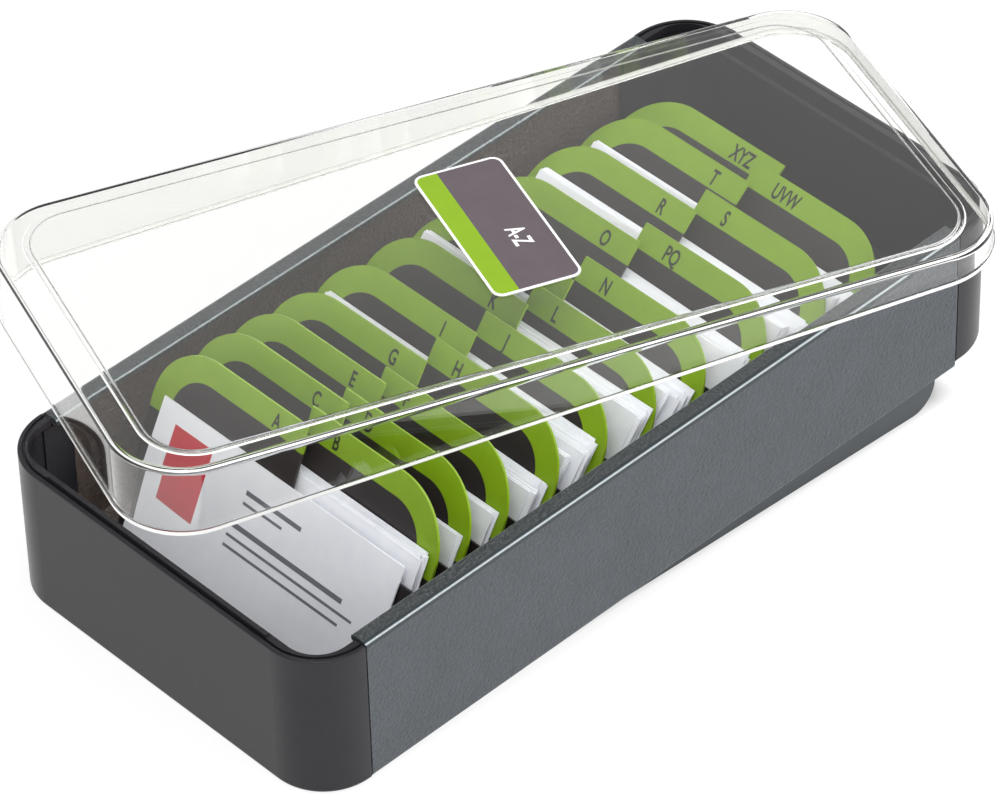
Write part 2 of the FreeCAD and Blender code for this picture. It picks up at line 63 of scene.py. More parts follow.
# %% [markdown]
# ## Where things are
# All sizes are written in millimetres and turned to metres once. The tray stands tilted on its
# riser, so most places are easier to give in the tray's own frame: across, along from the front
# seam, and square up from its bottom. The tilt is read from the direction in which the lid lifts.

# %% Units and the tray's frame
MM = 0.001
METAL_LENGTH = 215 * MM

lift_axis = Vector(joints["lid"]["axis"])
tilt = math.atan2(-lift_axis.y, lift_axis.z)
tray_low, tray_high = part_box("tray_channel")
seam = Vector((0, tray_high.y - METAL_LENGTH * math.cos(tilt), tray_low.z))
TRAY = Matrix.Translation(seam) @ Matrix.Rotation(tilt, 4, "X")


def in_tray(x, y, z):
    """A point given in the tray's frame in millimetres, in the row frame in metres."""
    return TRAY @ (Vector((x, y, z)) * MM)


print("the tray is tilted by", round(math.degrees(tilt), 2), "degrees")

# %% [markdown]
# ## The camera
# The picture was taken with a long lens from the front right, well above the box: lines that are
# parallel on the box stay almost parallel. A camera is a turn about the vertical, a nod down and
# a small roll, at a distance from a point that it looks at. Setting it first lets every later
# piece be judged from the right place.

# %% Camera
CAMERA_TURN = 46.97
CAMERA_HEIGHT = 42.37
CAMERA_ROLL = -1.645
CAMERA_DISTANCE = 1584.6 * MM
CAMERA_LENS = 221.06
CAMERA_AIM = in_tray(20.8, 85.5, 47.3)
SENSOR_WIDTH = 36
CLIP_START = 0.05
CLIP_END = 30

look = (
    Matrix.Rotation(math.radians(CAMERA_TURN), 4, "Z")
    @ Matrix.Rotation(math.radians(90 - CAMERA_HEIGHT), 4, "X")
    @ Matrix.Rotation(math.radians(CAMERA_ROLL), 4, "Z")
)
look = Matrix.Rotation(tilt, 4, "X") @ look
camera = bpy.data.objects.new("camera", bpy.data.cameras.new("camera"))
bpy.context.scene.collection.objects.link(camera)
back_off = Matrix.Translation((0, 0, CAMERA_DISTANCE))
camera.matrix_world = Matrix.Translation(CAMERA_AIM) @ look @ back_off
camera.data.lens = CAMERA_LENS
camera.data.sensor_width = SENSOR_WIDTH
camera.data.clip_start = CLIP_START
camera.data.clip_end = CLIP_END
bpy.context.scene.camera = camera
bpy.context.scene.view_settings.view_transform = "Standard"
print("camera at", [round(x, 3) for x in camera.matrix_world.translation])

# %% [markdown]
# ## Small tools
# A few helpers serve the whole script. They turn the hex colours that a maker would quote into
# the linear values that shaders work in, add nodes together with their settings and links, and
# put objects into the scene. One builds a thin plate from flat cells, because nearly everything
# in this box is a sheet: board, card, film. Cells that share an edge stay joined, so each cell
# can have its own finish and the plate is still one closed body.

# %% Colours and nodes


def linear(hex_colour):
    """An sRGB hex value as a linear colour."""
    channels = [int(hex_colour[i:i + 2], 16) / 255 for i in (1, 3, 5)]
    return [c / 12.92 if c <= 0.04045 else ((c + 0.055) / 1.055) ** 2.4 for c in channels] + [1.0]


def add(owner, kind, inputs=None, **settings):
    """Adds a shader node. Inputs are its sockets, each a value or another node's output."""
    made = owner.node_tree.nodes.new("ShaderNode" + kind)
    for name, value in settings.items():
        setattr(made, name, value)
    for socket, value in (inputs or {}).items():
        if isinstance(value, bpy.types.NodeSocket):
            owner.node_tree.links.new(value, made.inputs[socket])
        else:
            made.inputs[socket].default_value = value
    return made


def new_material(name):
    material = bpy.data.materials.new(name)
    material.use_nodes = True
    material.node_tree.nodes.clear()
    return material


def per_metre(size_mm):
    """The texture scale at which one feature is as large as a size in millimetres."""
    return 1 / (size_mm * MM)


def noise(owner, place, size_mm, detail):
    """A soft pattern with features of a size in millimetres."""
    return add(owner, "TexNoise", {"Vector": place, "Scale": per_metre(size_mm),
                                   "Detail": detail}).outputs["Fac"]


def reckon(owner, operation, *values):
    """The result of one step of arithmetic. Each value is a number or a node's output."""
    return add(owner, "Math", dict(enumerate(values)), operation=operation).outputs[0]


def ramp(owner, value, low, high, start=0.0, end=1.0):
    """Goes from low to high while the value goes from start to end."""
    return add(owner, "MapRange", {"Value": value, "From Min": start, "From Max": end,
                                   "To Min": low, "To Max": high}).outputs[0]


def blend(owner, share, first, second):
    """A mix of two colours, which are sockets 6 and 7 of the node, with output 2."""
    return add(owner, "Mix", {"Factor": share, 6: first, 7: second}, data_type="RGBA").outputs[2]


def add_object(name, data):
    """Puts a new object into the scene."""
    made = bpy.data.objects.new(name, data)
    bpy.context.scene.collection.objects.link(made)
    return made


# %% Thin plates
def plate(name, cells, thickness, materials):
    """A closed plate. Each cell is a flat outline, as (x, z) points in millimetres that run
    anticlockwise as seen from the front, with the number of its material. The rear face is at
    y = 0 and the front at -thickness."""
    numbers = {}
    points = []

    def number_of(point):
        key = (round(point[0], 4), round(point[1], 4))
        if key not in numbers:
            numbers[key] = len(points)
            points.append(key)
        return numbers[key]

    outlines = [([number_of(p) for p in outline], paint) for outline, paint in cells]
    count = len(points)
    vertices = [(x * MM, -thickness * MM, z * MM) for x, z in points]
    vertices += [(x * MM, 0, z * MM) for x, z in points]
    faces = []
    paints = []
    inner = set()
    for outline, paint in outlines:
        faces.append(outline)
        faces.append([index + count for index in reversed(outline)])
        paints += [paint, paint]
        for start, end in zip(outline, outline[1:] + outline[:1]):
            inner.add((start, end))
    for outline, paint in outlines:
        for start, end in zip(outline, outline[1:] + outline[:1]):
            if (end, start) not in inner:
                faces.append([end, start, start + count, end + count])
                paints.append(paint)
    mesh = bpy.data.meshes.new(name)
    mesh.from_pydata(vertices, [], faces)
    mesh.polygons.foreach_set("material_index", paints)
    for material in materials:
        mesh.materials.append(material)
    mesh.validate()
    return add_object(name, mesh)


def arc(x, z, radius, first, last, steps):
    """Points along an arc, in degrees."""
    turns = [math.radians(first + (last - first) * i / steps) for i in range(steps + 1)]
    return [(x + radius * math.cos(t), z + radius * math.sin(t)) for t in turns]


# %% [markdown]
# ## Powder-coated steel
# The tray is steel sheet with a baked powder coat in a fine wrinkle finish. Up close the coat is
# a field of soft pebbles about a millimetre wide, which break up reflections and make the dark
# grey read as matte. A cell pattern drives the bump, and a slow noise keeps the grey alive.
# Inside the tray the grey is warmer. On the flanges it is darker, which is painted shade
# for the dimmer light on their tops, and a pale strip along the crest of each bend beside a
# flange is a painted highlight. Masks by place tell these stretches apart.

# %% Powder-coated steel
STEEL_DARK = "#3a4045"
STEEL_LIGHT = "#484e54"
# Painted shade: the flange tops are darker for the dimmer light that falls on them.
STEEL_FLANGE_SHADE = "#33383b"
# A painted highlight along the crest of each bend beside a flange.
STEEL_CREST_HIGHLIGHT = "#9aa3a7"
STEEL_INSIDE = "#5a4f49"
STEEL_CLOUD_MM = 14
WRINKLE_MM = 1.1
WRINKLE_GRAIN_MM = 0.5
WRINKLE_RELIEF = 0.0011
INSIDE_HALF_MM = 60.3
FLANGE_UNDER_MM = 45.6
FLOOR_UNDER_MM = 0.6
BEND_HALF_MM = 59.5
BEND_LOW_MM = 45.4
OUTER_CREST_MM = 106.91
INNER_CREST_MM = -8.9
WRINKLED_ROUGHNESS = 0.4
BEND_ROUGHNESS = 0.16
BEND_RELIEF_SHARE = 0.1


def tray_place(material):
    """Coordinates in the tray's frame, in metres."""
    place = add(material, "TexCoord").outputs["Object"]
    turned = add(material, "Mapping", {"Vector": place, "Location": seam, "Rotation": (tilt, 0, 0)},
                 vector_type="TEXTURE")
    return turned.outputs["Vector"]


def powder_coated_steel():
    steel = new_material("powder_coated_steel")
    place = tray_place(steel)
    axes = add(steel, "SeparateXYZ", {"Vector": place}).outputs
    level = axes["Z"]
    across = reckon(steel, "ABSOLUTE", axes["X"])
    within = reckon(steel, "LESS_THAN", across, INSIDE_HALF_MM * MM)
    below = reckon(steel, "LESS_THAN", level, FLANGE_UNDER_MM * MM)
    above = reckon(steel, "GREATER_THAN", level, FLOOR_UNDER_MM * MM)
    inside = reckon(steel, "MULTIPLY", within, below)
    inside = reckon(steel, "MULTIPLY", inside, above)
    outer = reckon(steel, "GREATER_THAN", across, BEND_HALF_MM * MM)
    high = reckon(steel, "GREATER_THAN", level, BEND_LOW_MM * MM)
    bend = reckon(steel, "MULTIPLY", outer, high)
    outward = reckon(steel, "ADD", across, level)
    outer_crest = reckon(steel, "GREATER_THAN", outward, OUTER_CREST_MM * MM)
    inward = reckon(steel, "SUBTRACT", level, across)
    inner_crest = reckon(steel, "GREATER_THAN", inward, INNER_CREST_MM * MM)
    inner_crest = reckon(steel, "MULTIPLY", inner_crest, high)
    crest = reckon(steel, "MAXIMUM", outer_crest, inner_crest)
    cloud = noise(steel, place, STEEL_CLOUD_MM, 3.0)
    shade = blend(steel, cloud, linear(STEEL_DARK), linear(STEEL_LIGHT))
    # Painted shade on the flanges, and a painted highlight on the crests of the bends.
    for mask, paint in ((inside, STEEL_INSIDE), (high, STEEL_FLANGE_SHADE), (crest, STEEL_CREST_HIGHLIGHT)):
        shade = blend(steel, mask, shade, linear(paint))
    pebbles = add(steel, "TexVoronoi", {"Vector": place, "Scale": per_metre(WRINKLE_MM)},
                  feature="SMOOTH_F1").outputs["Distance"]
    grain = noise(steel, place, WRINKLE_GRAIN_MM, 2.0)
    relief = reckon(steel, "MULTIPLY", pebbles, grain)
    depth = ramp(steel, bend, 1.0, BEND_RELIEF_SHARE)
    bump = add(steel, "Bump", {"Height": relief, "Strength": depth,
                               "Distance": WRINKLE_RELIEF}).outputs[0]
    gloss = ramp(steel, bend, WRINKLED_ROUGHNESS, BEND_ROUGHNESS)
    shader = add(steel, "BsdfPrincipled", {"Base Color": shade, "Roughness": gloss, "Normal": bump})
    add(steel, "OutputMaterial", {"Surface": shader.outputs[0]})
    return steel


# %% [markdown]
# ## Moulded ends
# The two ends are moulded in dark grey ABS from a tool with a fine spark-eroded texture. The
# plastic is satin: a soft highlight rolls round the corners, and the grain is only seen in it.

# %% Moulded ABS
ABS_DARK = "#201f22"
ABS_LIGHT = "#2a292d"
RISER_DARK = "#3a3f43"
RISER_LIGHT = "#454a4e"
ABS_CLOUD_MM = 9
ABS_SMOOTHEST = 0.26
ABS_ROUGHEST = 0.34
ABS_SPECULAR = 0.27
SPARK_MM = 0.45
SPARK_STRENGTH = 0.3
SPARK_RELIEF = 0.00018


def moulded_abs(name, dark, light):
    plastic = new_material(name)
    place = add(plastic, "TexCoord").outputs["Object"]
    cloud = noise(plastic, place, ABS_CLOUD_MM, 4.0)
    colour = blend(plastic, cloud, linear(dark), linear(light))
    sparks = noise(plastic, place, SPARK_MM, 2.0)
    bump = add(plastic, "Bump", {"Height": sparks, "Strength": SPARK_STRENGTH,
                                 "Distance": SPARK_RELIEF})
    gloss = ramp(plastic, cloud, ABS_SMOOTHEST, ABS_ROUGHEST)
    shader = add(plastic, "BsdfPrincipled", {"Base Color": colour, "Roughness": gloss,
                                             "Specular IOR Level": ABS_SPECULAR,
                                             "Normal": bump.outputs[0]})
    add(plastic, "OutputMaterial", {"Surface": shader.outputs[0]})
    return plastic


# %% [markdown]
# ## Clear polystyrene
# The lid is moulded in clear polystyrene, which bends light more than window glass does, so its
# top lays a pale veil over what lies under it. The shader is plain clear plastic. Lamps would
# cast a black shadow through it, so for shadow rays alone it turns transparent with a slight
# grey tint, as a real lid lets most of the light through. The real lid's small roundings show
# crisp white lines, most likely highlights. Here they are painted highlights: a milky share in
# the same plastic, so these lines stay where they are when the view turns, and true highlights
# would not.

# %% Clear polystyrene
POLYSTYRENE_IOR = 1.58
CLEAR_TINT = "#fefefc"
SHADOW_TINT = "#f8f8f8"
FLOW_MM = 40
LEAST_POLISHED = 0.02
HIGHLIGHT_CLEARNESS = 0.12


def clear_polystyrene(name, clearness):
    clear = new_material(name)
    place = add(clear, "TexCoord").outputs["Object"]
    flow = noise(clear, place, FLOW_MM, 1.0)
    gloss = ramp(clear, flow, 0.0, LEAST_POLISHED)
    plastic = add(clear, "BsdfPrincipled", {
        "Base Color": linear(CLEAR_TINT), "Roughness": gloss, "IOR": POLYSTYRENE_IOR,
        "Transmission Weight": clearness})
    through = add(clear, "BsdfTransparent", {"Color": linear(SHADOW_TINT)})
    ray = add(clear, "LightPath")
    mix = add(clear, "MixShader", {0: ray.outputs["Is Shadow Ray"], 1: plastic.outputs[0],
                                   2: through.outputs[0]})
    add(clear, "OutputMaterial", {"Surface": mix.outputs[0]})
    return clear


# %% [markdown]
# ## Printed board, card and film
# The dividers are dark polypropylene sheet with a printed green band, the cards are smooth white
# card stock, and the label is printed film. Each is a flat colour only at first sight: sheet has
# a fine calendered grain, stock has fibres, and ink lies a little unevenly on both.

# %% Sheet materials
DRIFT_GRAINS = 12
GRAIN_STRENGTH = 0.3


def printed_sheet(name, dark, light, roughness, grain_mm, relief_mm):
    """A sheet whose colour drifts between two near shades, with a fine grain in its surface."""
    sheet = new_material(name)
    place = add(sheet, "TexCoord").outputs["Object"]
    drift = noise(sheet, place, grain_mm * DRIFT_GRAINS, 4.0)
    colour = blend(sheet, drift, linear(dark), linear(light))
    grain = noise(sheet, place, grain_mm, 3.0)
    bump = add(sheet, "Bump", {"Height": grain, "Strength": GRAIN_STRENGTH,
                               "Distance": relief_mm * MM})
    shader = add(sheet, "BsdfPrincipled", {"Base Color": colour, "Roughness": roughness,
                                           "Normal": bump.outputs[0]})
    add(sheet, "OutputMaterial", {"Surface": shader.outputs[0]})
    return sheet


steel = powder_coated_steel()
ends_plastic = moulded_abs("moulded_abs", ABS_DARK, ABS_LIGHT)
riser_plastic = moulded_abs("riser_abs", RISER_DARK, RISER_LIGHT)
clear_plastic = clear_polystyrene("clear_polystyrene", 1.0)
# A milky plastic that paints the highlights on the lid's small roundings.
painted_highlight_plastic = clear_polystyrene("polystyrene_painted_highlight", HIGHLIGHT_CLEARNESS)
# Each sheet: its darker and lighter shade, its roughness, its grain and its relief in millimetres.
board = printed_sheet("polypropylene_board", "#211c1d", "#2b2526", 0.42, 0.5, 0.05)
green_ink = printed_sheet("green_ink_on_board", "#76970e", "#82a517", 0.4, 0.5, 0.03)
black_ink = printed_sheet("black_ink", "#0d0d0d", "#171717", 0.5, 0.4, 0.02)
card_stock = printed_sheet("white_card_stock", "#eceef6", "#f7f8fc", 0.6, 0.3, 0.04)
red_ink = printed_sheet("red_ink_on_card", "#c0202c", "#cc2a36", 0.45, 0.3, 0.02)
grey_ink = printed_sheet("grey_ink_on_card", "#6f7078", "#7c7d84", 0.5, 0.3, 0.02)
label_white = printed_sheet("white_label_film", "#f3f3f4", "#fafafa", 0.25, 0.6, 0.02)
label_green = printed_sheet("green_label_ink", "#7ea406", "#88ae0c", 0.25, 0.6, 0.02)
label_dark = printed_sheet("dark_label_ink", "#564c52", "#60565c", 0.25, 0.6, 0.02)
print(len(bpy.data.materials), "materials")

# %% Finishes for the frame's own nodes
FINISHES = {
    "tray_channel": steel,
    "front_end_cap": ends_plastic,
    "rear_end_cap": ends_plastic,
    "riser_foot": riser_plastic,
}
for name, material in FINISHES.items():
    nodes[name].data.materials.clear()
    nodes[name].data.materials.append(material)
print("finished", sorted(FINISHES))

# %% [markdown]
# ## The clear lid
# The lid is one thin moulded shell, and all that is seen of it are its roundings: the bead along
# the open edge, the rounded top edge and the small step up to the raised panel each carry a
# crisp white line, a painted highlight in milky plastic. So the shell is a chain of closed loops,
# each a rounded rectangle at its own inset and height, from the middle of its underside, round
# the open edge, to the middle of its top. The top slopes down to the rear, so a loop's height is
# either level or on that slope.
# Weighted normals keep the flats flat beside the small roundings.

# %% The lid's profile
LID_WIDTH = 113.0
LID_LENGTH = 247.0
LID_CORNER = 20.0
LID_FRONT = 22.3
LID_REAR = 8.5
LID_WALL = 1.5
LID_EDGE = 1.8
LID_ACROSS = -6.0
LID_ALONG = 110.5
LID_TURN = -19.1
BEAD_HEIGHT = 1.6
BEAD_PROUD = 0.5
BEAD_ROUND = 0.25
PANEL_SIDE = 5.0
PANEL_END = 8.0
PANEL_CORNER = 15.0
PANEL_RISE = 0.8
STEP_ROUND = PANEL_RISE / 2
CORNER_STEPS = 16
EDGE_STEPS = 10
STEP_STEPS = 5
SMALL_STEPS = 4
# The bands with a painted highlight: the bead's upright face, the middle of the edge, the step's
# outer half.
BEAD_HIGHLIGHT_BANDS = range(SMALL_STEPS, SMALL_STEPS + 1)
EDGE_HIGHLIGHT_BANDS = range(4, 6)
STEP_HIGHLIGHT_BANDS = range(STEP_STEPS)
MERGE_WITHIN = 1e-7
SHARP_DEGREES = 50


def lid_loop(side, end, corner, height, sloped):
    """One loop of the lid, inset from its sides and ends."""
    x = LID_WIDTH / 2 - side - corner
    y = LID_LENGTH / 2 - end - corner
    outline = []
    for middle_x, middle_y, first in ((x, -y, -90), (x, y, 0), (-x, y, 90), (-x, -y, 180)):
        outline += arc(middle_x, middle_y, corner, first, first + 90, CORNER_STEPS)
    fall = (LID_REAR - LID_FRONT) / LID_LENGTH
    top = (LID_FRONT + LID_REAR) / 2
    return [(a, b, height + (top + fall * b if sloped else 0)) for a, b in outline]


def even_loop(inset, height, sloped=False):
    return lid_loop(inset, inset, LID_CORNER - inset, height, sloped)


def panel_loop(inset, height):
    return lid_loop(PANEL_SIDE + inset, PANEL_END + inset, PANEL_CORNER - inset, height, True)


def step_loops(inset, low):
    """The S-shaped step up to the panel, from outside in."""
    foot = arc(inset - STEP_ROUND, low + STEP_ROUND, STEP_ROUND, -90, 0, STEP_STEPS)
    crest = arc(inset + STEP_ROUND, low + PANEL_RISE - STEP_ROUND, STEP_ROUND, 180, 90, STEP_STEPS)
    return [panel_loop(along, up) for along, up in foot + crest[1:]]


# %% The lid
def lid_chain():
    """The lid's loops in order, each with whether the band up to the next loop carries a painted
    highlight.
    """
    inner_round = LID_EDGE - LID_WALL
    chain = [(loop, False) for loop in reversed(step_loops(LID_WALL, -LID_WALL))]
    for inset, height in arc(LID_EDGE, -LID_EDGE, inner_round, 90, 180, SMALL_STEPS):
        chain.append((even_loop(inset, height, sloped=True), False))
    for inset, height in arc(LID_WALL - BEAD_ROUND, BEAD_ROUND, BEAD_ROUND, 0, -90, SMALL_STEPS):
        chain.append((even_loop(inset, height), False))
    outside = BEAD_ROUND - BEAD_PROUD
    bead = arc(outside, BEAD_ROUND, BEAD_ROUND, -90, -180, SMALL_STEPS)
    bead += arc(outside, BEAD_HEIGHT - BEAD_ROUND, BEAD_ROUND, 180, 90, SMALL_STEPS)
    for number, (inset, height) in enumerate(bead):
        chain.append((even_loop(inset, height), number in BEAD_HIGHLIGHT_BANDS))
    chain.append((even_loop(0, BEAD_HEIGHT), False))
    edge = arc(LID_EDGE, -LID_EDGE, LID_EDGE, 180, 90, EDGE_STEPS)
    for number, (inset, height) in enumerate(edge):
        chain.append((even_loop(inset, height, sloped=True), number in EDGE_HIGHLIGHT_BANDS))
    steps = step_loops(0, 0)
    chain += [(loop, number in STEP_HIGHLIGHT_BANDS) for number, loop in enumerate(steps[:-1])]
    chain.append((steps[-1], False))
    return chain


def lid_mesh():
    chain = lid_chain()
    count = len(chain[0][0])
    vertices = [Vector(point) * MM for loop, _ in chain for point in loop]
    faces = [list(range(count)), [len(vertices) - 1 - index for index in range(count)]]
    paints = [0, 0]
    for ring, (_, highlighted) in enumerate(chain[:-1]):
        for index in range(count):
            after = (index + 1) % count
            low = ring * count
            faces.append([low + after, low + index, low + count + index, low + count + after])
            # Bands with a painted highlight take the milky plastic.
            paints.append(1 if highlighted else 0)
    mesh = bpy.data.meshes.new("clear_lid")
    mesh.from_pydata(vertices, [], faces)
    mesh.polygons.foreach_set("material_index", paints)
    mesh.materials.append(clear_plastic)
    mesh.materials.append(painted_highlight_plastic)
    solid = bmesh.new()
    solid.from_mesh(mesh)
    bmesh.ops.remove_doubles(solid, verts=solid.verts, dist=MERGE_WITHIN)
    bmesh.ops.recalc_face_normals(solid, faces=solid.faces)
    print("the lid's plastic is", round(solid.calc_volume() / MM ** 3), "mm3")
    solid.to_mesh(mesh)
    solid.free()
    mesh.polygons.foreach_set("use_smooth", [True] * len(mesh.polygons))
    mesh.set_sharp_from_angle(angle=math.radians(SHARP_DEGREES))
    return mesh


def clear_lid():
    """The lid, with its place worked into its mesh as in the frame's own nodes."""
    back = TRAY.inverted()
    open_level = min((back @ vertex.co).z for vertex in nodes["lid"].data.vertices) / MM
    mesh = lid_mesh()
    mesh.transform(
        TRAY
        @ Matrix.Translation(Vector((LID_ACROSS, LID_ALONG, open_level)) * MM)
        @ Matrix.Rotation(math.radians(LID_TURN), 4, "Z")
    )
    piece = add_object("clear_lid", mesh)
    weighted = piece.modifiers.new("flat_flats", "WEIGHTED_NORMAL")
    weighted.keep_sharp = True
    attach(piece, "lid")
    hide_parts("lid")
    print("its open edge is", round(open_level, 2), "mm above the tray's bottom")


clear_lid()

# %% [markdown]
# ## Index dividers
# Each divider is a sheet with a tall tab on one half. A green band runs up the tab's outer side,
# round the large corner and along the top to the square inner end, where the letters stand. The
# sheet is built as three parts, so that the band ends in a true line: a strip of quads for the
# band, the dark part inside it and the low body. A left tab is the mirror image of a right one.

# %% Divider outlines
DIVIDER_HALF = 49.5
BODY_HEIGHT = 40.0
TAB_HEIGHT = 62.0
TAB_CORNER = 18.5
TAB_END = -2.6
FOOT_CORNER = 3.0
SHEET = 0.8
BAND = 7.1
TAB_STEPS = 16
FOOT_STEPS = 4


def divider_cells():
    """The cells of a divider with its tab on the right."""
    middle_x = DIVIDER_HALF - TAB_CORNER
    middle_z = TAB_HEIGHT - TAB_CORNER
    outer = [(DIVIDER_HALF, BODY_HEIGHT)]
    outer += arc(middle_x, middle_z, TAB_CORNER, 0, 90, TAB_STEPS)
    outer.append((TAB_END, TAB_HEIGHT))
    inner = [(DIVIDER_HALF - BAND, BODY_HEIGHT)]
    inner += arc(middle_x, middle_z, TAB_CORNER - BAND, 0, 90, TAB_STEPS)
    inner.append((TAB_END, TAB_HEIGHT - BAND))
    cells = []
    for index in range(len(outer) - 1):
        cells.append(([outer[index], outer[index + 1], inner[index + 1], inner[index]], 1))
    cells.append((inner + [(TAB_END, BODY_HEIGHT)], 0))
    low = FOOT_CORNER
    body = [(DIVIDER_HALF, BODY_HEIGHT), inner[0]]
    body += [(TAB_END, BODY_HEIGHT), (-DIVIDER_HALF, BODY_HEIGHT)]
    body += arc(-(DIVIDER_HALF - low), low, low, 180, 270, FOOT_STEPS)
    body += arc(DIVIDER_HALF - low, low, low, 270, 360, FOOT_STEPS)
    cells.append((body, 0))
    return cells


def flipped(cells):
    return [([(-x, z) for x, z in reversed(outline)], paint) for outline, paint in cells]


def leaf_place(body, node, height):
    """The frame of a leaning sheet: its foot is the hinge line, and its top gives its lean."""
    foot = Vector(joints[body]["pos_m"])
    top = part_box(node)[1]
    lean = math.asin((top.y - foot.y) / (height * MM))
    return Matrix.Translation(foot) @ Matrix.Rotation(-lean, 4, "X"), lean


# %% Dividers with their letters
LETTER_HEIGHT = 4.3
LETTER_NARROW = 0.64
LETTER_FROM_END = 10.0
LONGER_FROM_END = {"pq": 12.2, "uvw": 13.5, "xyz": 12.6}
LETTER_LOW = 0.7
CAPITAL_SHARE = 0.7
INK_PROUD = 0.02
LETTER_BOLD = 0.03


def letters_on(name, text, middle_x, middle_z, place, y, height, material):
    """Narrow capitals centred on a point of a sheet's front face."""
    curve = bpy.data.curves.new(name, "FONT")
    curve.body = text
    curve.align_x = "CENTER"
    curve.align_y = "CENTER"
    curve.size = height * MM / CAPITAL_SHARE
    curve.extrude = INK_PROUD * MM / 2
    curve.offset = height * MM * LETTER_BOLD
    curve.materials.append(material)
    piece = add_object(name, curve)
    piece.matrix_world = (
        place
        @ Matrix.Translation((middle_x * MM, y * MM, middle_z * MM))
        @ Matrix.Rotation(math.radians(90), 4, "X")
        @ Matrix.Diagonal((LETTER_NARROW, 1, 1, 1))
    )
    return piece


leaf_frames = {}
for node in sorted(name for name in nodes if name.startswith("divider_")):
    letters = node.split("_")[1]
    leaf_frames[letters] = leaf_place("leaf_" + letters, node, TAB_HEIGHT)
for number, letters in enumerate(sorted(leaf_frames)):
    place = leaf_frames[letters][0]
    body = "leaf_" + letters
    left = number % 2 == 0
    cells = flipped(divider_cells()) if left else divider_cells()
    sheet = plate("sheet_" + letters, cells, SHEET, [board, green_ink])
    sheet.matrix_world = place
    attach(sheet, body)
    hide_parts("divider_" + letters)
    side = -1 if left else 1
    from_end = LONGER_FROM_END.get(letters, LETTER_FROM_END)
    ink = letters_on("letters_" + letters, letters.upper(), side * (TAB_END + from_end),
                     TAB_HEIGHT - BAND / 2 - LETTER_LOW, place, -(SHEET + INK_PROUD), LETTER_HEIGHT,
                     black_ink)
    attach(ink, body)
print(len(leaf_frames), "dividers")

# %% [markdown]
# ## Packs of cards
# The cards were dropped in by hand: no two stand at quite the same height or reach quite as far,
# and their ends curl apart a little. A solid block with stripes would look like a block, so every
# card is a thin curved slab of its own. Five packs stand taller than the frame's blocks, and four
# thin ones behind right tabs have no block at all, so each rides on the divider that it stands
# against. The random numbers are seeded, so that the packs are the same each time.

# %% Packs of cards
CARD_WIDTH = 90.0
CARD_HEIGHT = 47.5
CARD_SHEET = 0.33
CARD_PITCH = 0.43
CARD_RIGHT = 46.8
CLEARANCE = 0.3
SPREAD = 1.3
MOST_LEFT = -2.2
MOST_RIGHT = 0.8
UNEVEN = 0.35
MOST_UP = 0.9
TIP = 0.006
SEED = 7
CARD_STEPS = 9
CURL_FROM = 0.55
# How much taller than its block a pack stands, and by the divider that each thin pack stands
# against, its number of cards and their height.
TALLER = {"cards_i_j": 3.0, "cards_k_l": 4.8, "cards_m_n": 2.0, "cards_o_pq": 1.7, "cards_r_s": 1.0}
THIN_PACKS = {"i": (4, 49.6), "m": (5, 52.5), "r": (6, 50.8), "t": (4, 50.2)}
THIN_PACK_RIGHT = 45.0
MOST_TIP = math.radians(18)


def card_slab(vertices, faces, right, depth, foot, height, tip, curl):
    """Adds one card: a slab in a few steps across, which curls towards its right end."""
    first = len(vertices)
    for step in range(CARD_STEPS + 1):
        share = step / CARD_STEPS
        x = right - CARD_WIDTH * (1 - share)
        bend = curl * (max(0.0, share - CURL_FROM) / (1 - CURL_FROM)) ** 2
        rise = math.tan(tip) * (x - right + CARD_WIDTH / 2)
        for y in (depth, depth + CARD_SHEET):
            for z in (foot, foot + height):
                vertices.append((x * MM, (y + bend) * MM, (z + rise) * MM))
    for step in range(CARD_STEPS):
        a = first + step * 4
        b = a + 4
        faces.extend([[a, b, b + 1, a + 1], [a + 2, a + 3, b + 3, b + 2],
                      [a + 1, b + 1, b + 3, a + 3], [a, a + 2, b + 2, b]])
    last = first + CARD_STEPS * 4
    faces.append([first, first + 1, first + 3, first + 2])
    faces.append([last, last + 2, last + 3, last + 1])


def card_pack(node, body, behind, chance):
    """The cards between a pack's hinge line and the divider that it leans on."""
    place, lean = leaf_frames[behind]
    front = place.inverted() @ Vector(joints[body]["pos_m"])
    room = -front.y / MM - SHEET - CLEARANCE
    count = max(1, int(room / CARD_PITCH))
    slope = math.tan(lean + tilt)
    height = CARD_HEIGHT + TALLER.get(node, 0)
    vertices = []
    faces = []
    for number in range(count):
        depth = -(SHEET + CLEARANCE) - room * (number + 1) / count
        shift = chance.gauss(0, SPREAD)
        lifted = abs(chance.gauss(0, UNEVEN))
        right = CARD_RIGHT + max(MOST_LEFT, min(MOST_RIGHT, shift))
        tip = chance.gauss(0, TIP)
        foot = (depth + CARD_SHEET) * slope + min(MOST_UP, lifted) + abs(tip) * CARD_WIDTH / 2
        spare = room / count - CARD_SHEET
        card_slab(vertices, faces, right, depth, foot, height, tip, spare * chance.random())
    mesh = bpy.data.meshes.new(node)
    mesh.from_pydata(vertices, [], faces)
    mesh.materials.append(card_stock)
    piece = add_object("pack_" + node, mesh)
    piece.matrix_world = place
    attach(piece, body)
    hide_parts(node)
    return count


